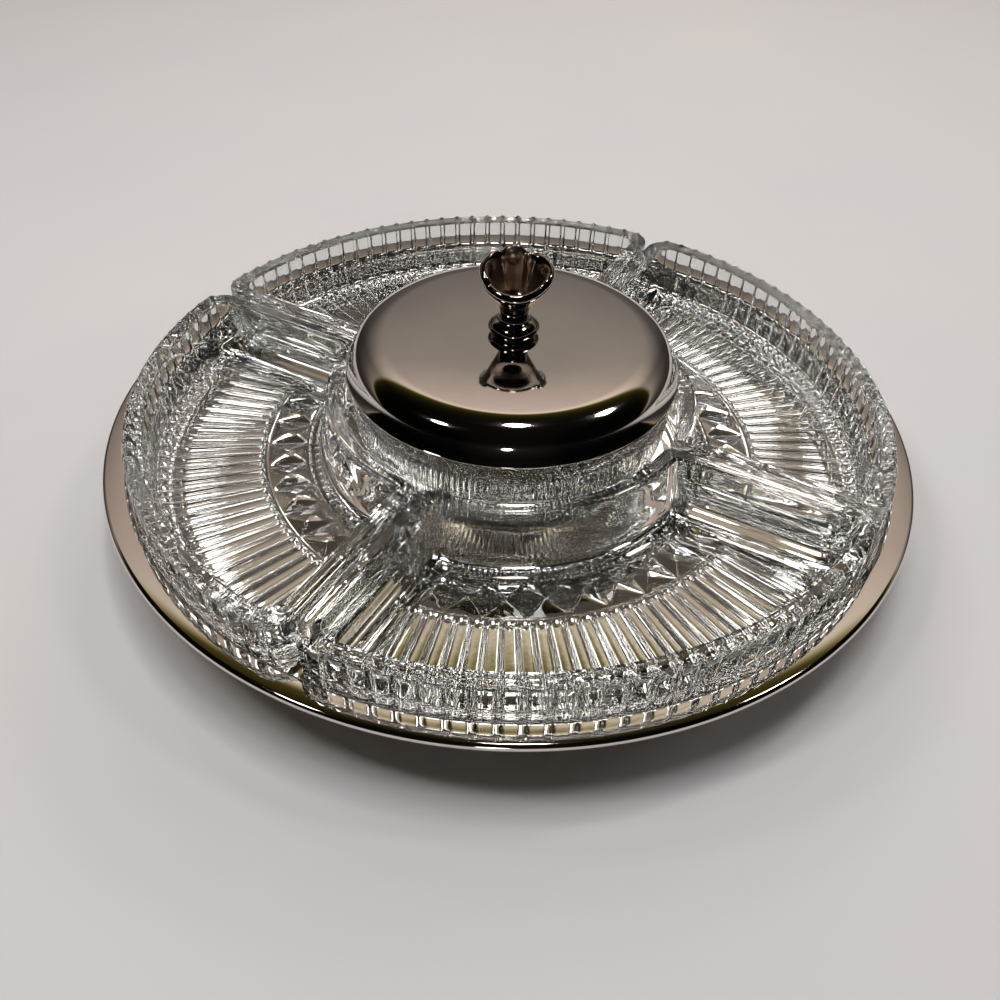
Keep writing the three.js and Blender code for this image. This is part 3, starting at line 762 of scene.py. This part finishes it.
def pale_floor():
    """A large plain pale table top."""
    corners = [(x * FLOOR_HALF, y * FLOOR_HALF, 0) for x, y in ((-1, -1), (1, -1), (1, 1), (-1, 1))]
    mesh = bpy.data.meshes.new("table_top")
    mesh.from_pydata(corners, [], [(0, 1, 2, 3)])
    mesh.materials.append(pale_table_paint())
    floor = bpy.data.objects.new("table_top", mesh)
    bpy.context.scene.collection.objects.link(floor)


AHEAD = Vector((0.3007, 0.9537, 0))  # level direction from the viewer over the turntable
ACROSS = Vector((0.9537, -0.3007, 0))  # level direction to the viewer's right


# the room's glow along an arch from level ahead (0) over the top (0.5) to level behind the viewer (1)
ROOM_GLOW = [
    (0.0, "#57534F"), (0.1, "#645F5A"), (0.16, "#857D79"), (0.18, "#91897F"), (0.2, "#9F958D"),
    (0.22, "#BAABA0"), (0.238, "#D0BFB2"), (0.258, "#E8D7C8"), (0.272, "#F3E6D0"), (0.283, "#A89A68"),
    (0.291, "#4A431C"), (0.32, "#2C270E"), (0.36, "#171509"), (0.42, "#0D0C0A"), (0.85, "#0C0B0B"),
    (0.97, "#1C1A19"), (1.0, "#3A3734"),
]


def room_glow():
    """A soft room: pale ahead and brightest half way up, dark overhead and behind, dimmer to the sides."""
    world = bpy.data.worlds.new("room")
    bpy.context.scene.world = world
    world.use_nodes = True
    tree = world.node_tree
    way = add(tree, "ShaderNodeTexCoord").outputs["Generated"]
    ahead = add(tree, "ShaderNodeVectorMath", {"operation": "DOT_PRODUCT"}, i0=way, i1=AHEAD)
    across = add(tree, "ShaderNodeVectorMath", {"operation": "DOT_PRODUCT"}, i0=way, i1=ACROSS)
    across = across.outputs["Value"]
    height = add(tree, "ShaderNodeSeparateXYZ", Vector=way).outputs["Z"]
    angle = add(tree, "ShaderNodeMath", {"operation": "ARCTAN2"}, i0=height, i1=ahead.outputs["Value"])
    share = add(tree, "ShaderNodeMapRange", Value=angle.outputs["Value"], From_Max=math.pi)
    ramp = add(tree, "ShaderNodeValToRGB", Fac=share.outputs["Result"])
    marks = ramp.color_ramp.elements
    marks[0].color = linear(ROOM_GLOW[0][1])
    marks[1].color = linear(ROOM_GLOW[-1][1])
    for position, colour in ROOM_GLOW[1:-1]:
        marks.new(position).color = linear(colour)
    tilt = add(tree, "ShaderNodeMapRange", Value=across, From_Min=-0.6, From_Max=0.6)
    plug(tree, tilt, To_Min=0.85, To_Max=1.15)
    square = add(tree, "ShaderNodeMath", {"operation": "POWER"}, i0=across, i1=2.0)
    sides = add(tree, "ShaderNodeMapRange", Value=square.outputs["Value"], From_Max=0.3)
    plug(tree, sides, To_Min=1.05, To_Max=0.3)
    dim = add(tree, "ShaderNodeMath", TIMES, i0=tilt.outputs["Result"], i1=sides.outputs["Result"])
    shaded = add(tree, "ShaderNodeVectorMath", {"operation": "SCALE"}, i0=ramp.outputs["Color"])
    plug(tree, shaded, Scale=dim.outputs["Value"])
    seen = add(tree, "ShaderNodeLightPath").outputs["Is Camera Ray"]
    backdrop = add(tree, "ShaderNodeMix", RGBA, Factor=seen)
    plug(tree, backdrop, i6=shaded.outputs["Vector"], i7=linear("#A9A5A1"))
    plug(tree, tree.nodes["Background"], Color=backdrop.outputs[2], Strength=1.0)


def soft_lamp(name, place, size, watts, colour, in_mirrors, in_glass):
    """A round lamp aimed at the dishes, seen or not seen in mirror surfaces and through glass."""
    data = bpy.data.lights.new(name, "AREA")
    data.shape = "DISK"
    data.size = size
    data.energy = watts
    data.color = linear(colour)[:3]
    lamp = bpy.data.objects.new(name, data)
    lamp.location = place
    lamp.rotation_euler = (Vector((0, 0, 0.03)) - Vector(place)).to_track_quat("-Z", "Y").to_euler()
    lamp.visible_glossy = in_mirrors
    lamp.visible_transmission = in_glass
    bpy.context.scene.collection.objects.link(lamp)


def set_lamps():
    """Two soft lamps for the floor, four spots for the lid's highlights, a dome of small ones for glints."""
    soft_lamp("overhead_softbox", (-0.1, -0.1, 1.9), 1.0, 8, "#F2F6FF", False, False)
    soft_lamp("window_ahead", (0.6, 1.6, 0.9), 0.7, 5, "#FFEEDC", False, False)
    spots = [
        ("spot_left", (-0.85, -0.06, 1.36), 2.2),
        ("spot_middle", (0.1, 0.13, 1.57), 2.2),
        ("spot_right", (0.83, 0.09, 1.34), 2.2),
        ("spot_low", (-0.51, -1.49, 0.2), 1.2),
    ]
    for name, place, watts in spots:
        soft_lamp(name, place, 0.2, watts, "#FFF6EA", True, True)
    count = 18
    dome = 1.7
    for i in range(count):
        away = math.radians(137.5 * i)
        up = math.radians(25 + 60 * ((i * 7 % count) / (count - 1)))
        level = dome * math.cos(up)
        place = (level * math.cos(away), level * math.sin(away), dome * math.sin(up))
        soft_lamp(f"sparkle_{i + 1}", place, 0.2, 1.1, "#FBFBFF", False, True)


def set_camera():
    """The viewer's camera, from in front and above, turned a little about its own line of sight."""
    data = bpy.data.cameras.new("viewer")
    data.lens = 36.77
    data.sensor_width = 36
    camera = bpy.data.objects.new("viewer", data)
    bpy.context.scene.collection.objects.link(camera)
    ahead = Vector((0.2238, 0.7098, -0.6680)).normalized()
    right = ACROSS.normalized()
    up = right.cross(ahead)
    roll = math.radians(1.95)
    x = right * math.cos(roll) + up * math.sin(roll)
    y = up * math.cos(roll) - right * math.sin(roll)
    turn = Matrix((x, y, -ahead)).transposed().to_4x4()
    camera.matrix_world = Matrix.Translation((-0.1312, -0.4035, 0.3623)) @ turn
    bpy.context.scene.camera = camera


lay_dishes()
pressed_bowl()
spun_tray()
spun_lid()
cast_flower()
finish_bearing()
pale_floor()
room_glow()
set_lamps()
set_camera()

scene = bpy.context.scene
scene.view_settings.view_transform = "Standard"
scene.cycles.max_bounces = 24
scene.cycles.glossy_bounces = 12
scene.cycles.transmission_bounces = 20
